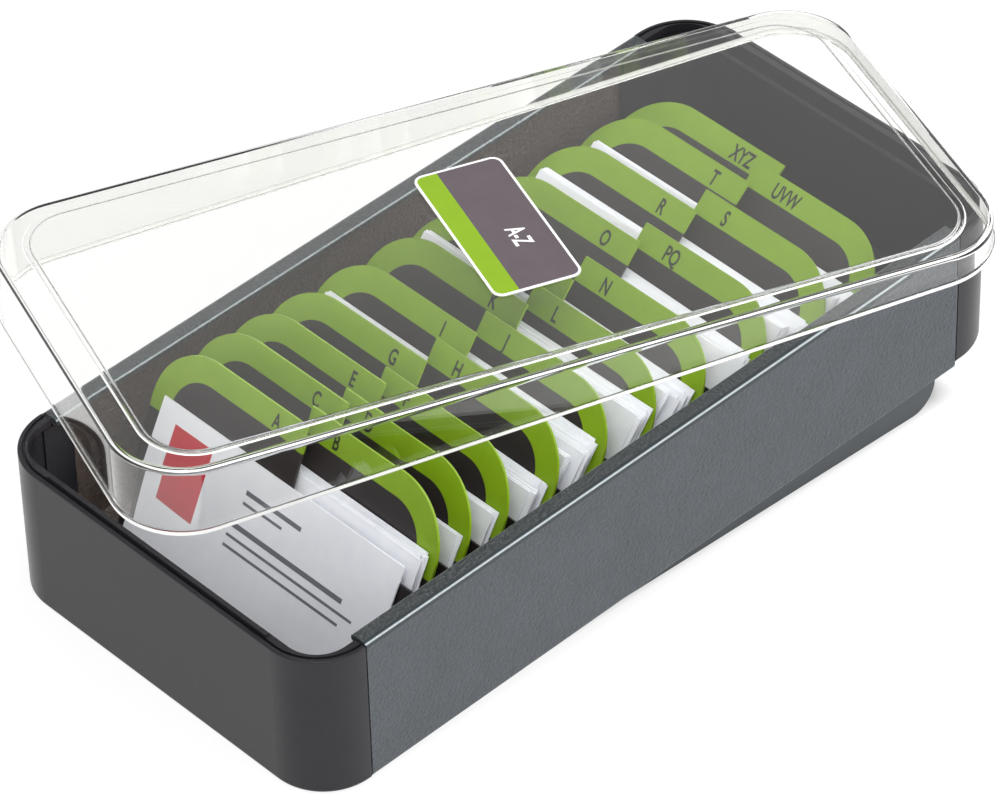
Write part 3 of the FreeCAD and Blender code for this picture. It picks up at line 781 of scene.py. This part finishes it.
def thin_pack(behind, count, height, chance):
    """A few cards slipped in behind a right tab. They ride on the divider that they stand
    against, and their feet clear the tray's bottom also when it is tipped forward."""
    place, lean = leaf_frames[behind]
    slope = math.tan(lean + tilt - MOST_TIP)
    vertices = []
    faces = []
    for number in range(count):
        depth = -(SHEET + CLEARANCE) - CARD_PITCH * (number + 1)
        foot = depth * slope + SHEET * math.tan(MOST_TIP) + UNEVEN * chance.random()
        right = THIN_PACK_RIGHT + chance.gauss(0, UNEVEN)
        card_slab(vertices, faces, right, depth, foot, height, 0, 0)
    mesh = bpy.data.meshes.new("thin_pack_" + behind)
    mesh.from_pydata(vertices, [], faces)
    mesh.materials.append(card_stock)
    piece = add_object("thin_pack_" + behind, mesh)
    piece.matrix_world = place
    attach(piece, "leaf_" + behind)
    return count


chance = random.Random(SEED)
total = 0
for node in sorted(name for name in nodes if name.startswith("cards_")):
    before, behind = node.split("_")[1:]
    total += card_pack(node, "pack_%s_%s" % (before, behind), behind, chance)
for behind, (count, height) in THIN_PACKS.items():
    total += thin_pack(behind, count, height, chance)
print(total, "cards in the packs")

# %% [markdown]
# ## The single card
# One printed card stands in front of the rest. It is a plate like the dividers, with plain
# printing: a red mark and grey rules where a card has its lines. The printing is a film of ink
# that stands a hair proud of the stock.

# %% The single card
CARD_THICK = 0.5
SINGLE_RIGHT = 45.2
# The mark: left, low, width, height. The rules: low, left, width, height.
MARK = (6.4, 22, 14.4, 20.5)
RULES = [(38.4, 34.5, 21, 1.3), (35.6, 34.5, 15, 0.8), (28.2, 33, 42, 1.5), (25.2, 33, 47, 0.8),
         (22.2, 33, 43, 0.8)]


def box_cell(left, low, width, height):
    return [(left, low), (left + width, low), (left + width, low + height), (left, low + height)]


def single_card():
    foot = Vector(joints["single_card"]["pos_m"])
    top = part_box("card_front")[1]
    lean = math.asin((top.y - foot.y - CARD_THICK * MM / math.cos(tilt)) / (CARD_HEIGHT * MM))
    place = Matrix.Translation(foot) @ Matrix.Rotation(-lean, 4, "X")
    place = place @ Matrix.Translation((0, CARD_THICK * MM, 0))
    left = SINGLE_RIGHT - CARD_WIDTH
    whole = box_cell(left, 0, CARD_WIDTH, CARD_HEIGHT)
    stock = plate("single_card_stock", [(whole, 0)], CARD_THICK, [card_stock])
    stock.matrix_world = place
    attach(stock, "single_card")
    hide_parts("card_front")
    ink_place = place @ Matrix.Translation((0, -CARD_THICK * MM, 0))
    mark_left, *mark_rest = MARK
    red = box_cell(left + mark_left, *mark_rest)
    mark = plate("single_card_mark", [(red, 0)], INK_PROUD, [red_ink])
    rules = []
    for low, start, width, height in RULES:
        rules.append((box_cell(left + start, low, width, height), 0))
    lines = plate("single_card_rules", rules, INK_PROUD, [grey_ink])
    for piece in (mark, lines):
        piece.matrix_world = ink_place
        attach(piece, "single_card")
    print("the single card leans by", round(math.degrees(lean), 1), "degrees")


single_card()

# %% [markdown]
# ## The lid's label
# A small printed label with rounded corners lies on the lid's raised panel: a thin white border,
# a dark field and a bright green strip along its front. Its frame is found from the frame's own
# label: the three axes along which its points spread most and least.

# %% The label
LABEL_WIDTH = 52.5
LABEL_DEPTH = 25.2
LABEL_CORNER = 3.0
LABEL_SHEET = 0.3
LABEL_BORDER = 0.7
LABEL_STEPS = 6
LABEL_MARK_ACROSS = 6.0
LABEL_MARK_UP = 3.2
LABEL_MARK_HEIGHT = 5.0
STRIP_TOP = -5.6


def plate_frame(node):
    """The frame of a flat node: x along its longest side, z along its next, y square to it."""
    points = np.array([v.co for v in nodes[node].data.vertices])
    middle = (points.min(0) + points.max(0)) / 2
    axes = np.linalg.svd(points - middle, full_matrices=False)[2]
    x = Vector(axes[0]) * (1 if axes[0][0] > 0 else -1)
    y = Vector(axes[2]) * (1 if axes[2][2] < 0 else -1)
    z = x.cross(y)
    turn = Matrix((x, y, z)).transposed().to_4x4()
    return Matrix.Translation(Vector(middle)) @ turn


def label_loop(inset):
    """A rounded outline with a point on each side where the strip begins."""
    x = LABEL_WIDTH / 2 - inset
    z = LABEL_DEPTH / 2 - inset
    radius = LABEL_CORNER - inset
    turn_x = x - radius
    turn_z = z - radius
    loop = arc(turn_x, -turn_z, radius, -90, 0, LABEL_STEPS) + [(x, STRIP_TOP)]
    loop += arc(turn_x, turn_z, radius, 0, 90, LABEL_STEPS)
    loop += arc(-turn_x, turn_z, radius, 90, 180, LABEL_STEPS) + [(-x, STRIP_TOP)]
    loop += arc(-turn_x, -turn_z, radius, 180, 270, LABEL_STEPS)
    return loop


def lid_label():
    place = plate_frame("lid_label") @ Matrix.Translation((0, LABEL_SHEET / 2 * MM, 0))
    outer = label_loop(0)
    inner = label_loop(LABEL_BORDER)
    cells = []
    for index in range(len(outer)):
        after = (index + 1) % len(outer)
        cells.append(([outer[index], outer[after], inner[after], inner[index]], 0))
    right = inner.index(next(p for p in inner if p[1] == STRIP_TOP))
    left = len(inner) - 1 - inner[::-1].index(next(p for p in inner[::-1] if p[1] == STRIP_TOP))
    cells.append((inner[right:left + 1], 2))
    cells.append((inner[left:] + inner[:right + 1], 1))
    film = plate("label_film", cells, LABEL_SHEET, [label_white, label_green, label_dark])
    film.matrix_world = place
    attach(film, "lid")
    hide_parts("lid_label")
    mark = letters_on("label_letters", "A-Z", LABEL_MARK_ACROSS, LABEL_MARK_UP, place,
                      -(LABEL_SHEET + INK_PROUD), LABEL_MARK_HEIGHT, label_white)
    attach(mark, "lid")
    print("the label has", len(cells), "cells")


lid_label()

# %% [markdown]
# ## Floor, world and lamps
# The box stands on plain white. The floor lights the box as white paper would, but the camera
# and the clear lid see it as an even white that only keeps the soft contact shadow. Under the
# middle of the box it has no glow, which paints a shadow there. A long narrow lamp stands to the
# right, a wider one behind the box, and a square one hangs over its front right. The white world
# fills the rest, and reflections alone see its ceiling as dim.

# %% Floor and world
FLOOR_SIZE = 6.0
FLOOR_GLOW = 0.84
FLOOR_SHADE = 0.2
PAPER_DARK = "#f4f4f5"
PAPER_LIGHT = "#f8f8f8"
PAPER_CLOUD_MM = 500
SHADOW_UNDER_BOX = (0.056, 0.116)
SHADOW_UNDER_BOX_EDGE = 0.008
WORLD_FILL = 0.65
CEILING = 0.15
CEILING_FROM = 0.45
CEILING_FULL = 0.95


def sees_background(owner):
    """1 for the rays that show the background itself: seen direct, mirrored or through plastic."""
    ray = add(owner, "LightPath").outputs
    either = reckon(owner, "MAXIMUM", ray["Is Camera Ray"], ray["Is Glossy Ray"])
    return reckon(owner, "MAXIMUM", either, ray["Is Transmission Ray"])


def painted_shadow_under_box(owner, place):
    """The painted shadow under the box: 1 on the floor under its middle, falling to 0 over a short
    edge.
    """
    axes = add(owner, "SeparateXYZ", {"Vector": place}).outputs
    shares = []
    for axis, half in zip("XY", SHADOW_UNDER_BOX):
        away = reckon(owner, "ABSOLUTE", axes[axis])
        shares.append(ramp(owner, away, 1.0, 0.0, half - SHADOW_UNDER_BOX_EDGE, half))
    return reckon(owner, "MULTIPLY", *shares)


def white_floor():
    paper = new_material("white_backdrop_paper")
    place = add(paper, "TexCoord").outputs["Object"]
    tone = noise(paper, place, PAPER_CLOUD_MM, 2.0)
    white = blend(paper, tone, linear(PAPER_DARK), linear(PAPER_LIGHT))
    lit = add(paper, "BsdfDiffuse", {"Color": white})
    shade = add(paper, "BsdfDiffuse", {"Color": (FLOOR_SHADE, FLOOR_SHADE, FLOOR_SHADE, 1)})
    # No glow under the box: a painted shadow there.
    strength = ramp(paper, painted_shadow_under_box(paper, place), FLOOR_GLOW, 0.0)
    glow = add(paper, "Emission", {"Color": (1, 1, 1, 1), "Strength": strength})
    seen = add(paper, "AddShader", {0: shade.outputs[0], 1: glow.outputs[0]})
    both = add(paper, "MixShader", {0: sees_background(paper), 1: lit.outputs[0],
                                    2: seen.outputs[0]})
    add(paper, "OutputMaterial", {"Surface": both.outputs[0]})
    mesh = bpy.data.meshes.new("floor")
    half = FLOOR_SIZE / 2
    mesh.from_pydata([(-half, -half, 0), (half, -half, 0), (half, half, 0), (-half, half, 0)], [],
                     [[0, 1, 2, 3]])
    mesh.materials.append(paper)
    floor = add_object("floor", mesh)


def white_world():
    world = bpy.data.worlds.new("white_studio")
    bpy.context.scene.world = world
    world.use_nodes = True
    world.node_tree.nodes.clear()
    place = add(world, "TexCoord").outputs["Generated"]
    height = add(world, "SeparateXYZ", {"Vector": place}).outputs["Z"]
    room = ramp(world, height, 1.0, CEILING, CEILING_FROM, CEILING_FULL)
    ray = add(world, "LightPath").outputs
    mirrored = add(world, "Mix", {"Factor": ray["Is Glossy Ray"], 2: 1.0, 3: room}).outputs[0]
    strength = add(world, "Mix", {"Factor": sees_background(world), 2: WORLD_FILL, 3: mirrored})
    light = add(world, "Background", {"Color": (1, 1, 1, 1), "Strength": strength.outputs[0]})
    add(world, "OutputWorld", {"Surface": light.outputs[0]})


white_floor()
white_world()
print("a floor", FLOOR_SIZE, "m wide and a white world")


# %% Lamps
LAMP_TARGET = (0, 0, 0.04)
# Each lamp: its name, its place, its width and height in metres, and its watts.
LAMPS = [
    ("key_from_the_right", (1.25, 0.45, 0.95), 1.5, 0.22, 11.0),
    ("back_light", (0.2, 1.5, 1.3), 1.2, 0.5, 14.0),
    ("front_fill", (0.6, -0.75, 1.6), 0.9, 0.9, 13.5),
]


def soft_lamp(name, position, target, width, height, watts):
    """A soft box whose long side lies level."""
    lamp = bpy.data.lights.new(name, "AREA")
    lamp.shape = "RECTANGLE"
    lamp.size = width
    lamp.size_y = height
    lamp.energy = watts
    holder = add_object(name, lamp)
    direction = Vector(target) - Vector(position)
    holder.rotation_mode = "QUATERNION"
    holder.rotation_quaternion = direction.to_track_quat("-Z", "Y")
    holder.location = position


for name, position, width, height, watts in LAMPS:
    soft_lamp(name, position, LAMP_TARGET, width, height, watts)
print(len(LAMPS), "lamps")
